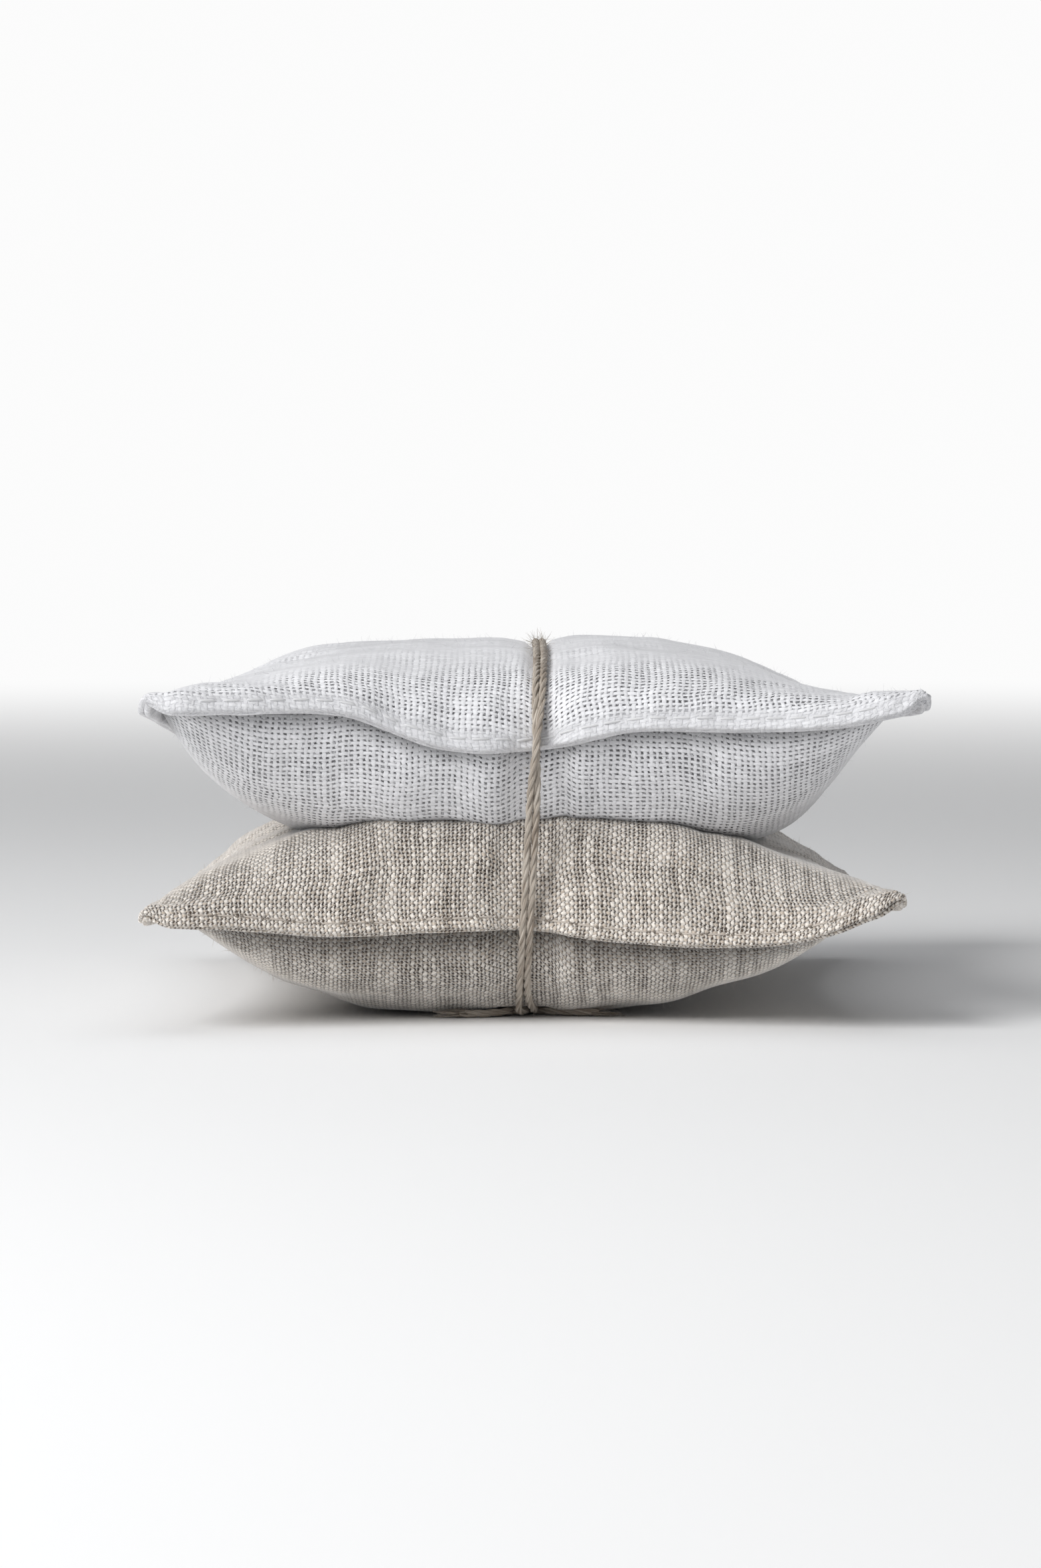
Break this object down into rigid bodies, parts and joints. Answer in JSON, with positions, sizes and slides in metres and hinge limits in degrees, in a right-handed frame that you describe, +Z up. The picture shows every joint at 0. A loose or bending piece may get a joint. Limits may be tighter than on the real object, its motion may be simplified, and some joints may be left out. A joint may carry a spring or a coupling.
{
  "type": "lavender sachet bundle",
  "caption": "Square linen sachets filled with dried lavender, a white one laid on a natural one, sewn round their edges and tied together with flax twine.",
  "frame": {"origin": "on the surface that the bundle rests on, under the middle of its bounding box", "axes": "+Z up; -Y towards the front, the side the picture shows; +X to the right as seen from the front"},
  "size_m": [0.1011, 0.1008, 0.0493],
  "materials": {
    "natural_linen": "matte",
    "white_linen": "matte",
    "natural_thread": "matte",
    "white_thread": "matte",
    "lavender": "matte",
    "flax_twine": "matte"
  },
  "bodies": {
    "root": {"natural_top_panel": "natural_linen", "natural_bottom_panel": "natural_linen", "natural_lavender_fill": "lavender", "natural_needle_thread": "natural_thread", "natural_bobbin_thread": "natural_thread", "white_top_panel": "white_linen", "white_bottom_panel": "white_linen", "white_lavender_fill": "lavender", "white_needle_thread": "white_thread", "white_bobbin_thread": "white_thread", "twine_winding": "flax_twine", "twine_knot": "flax_twine"}
  },
  "joints": []
}
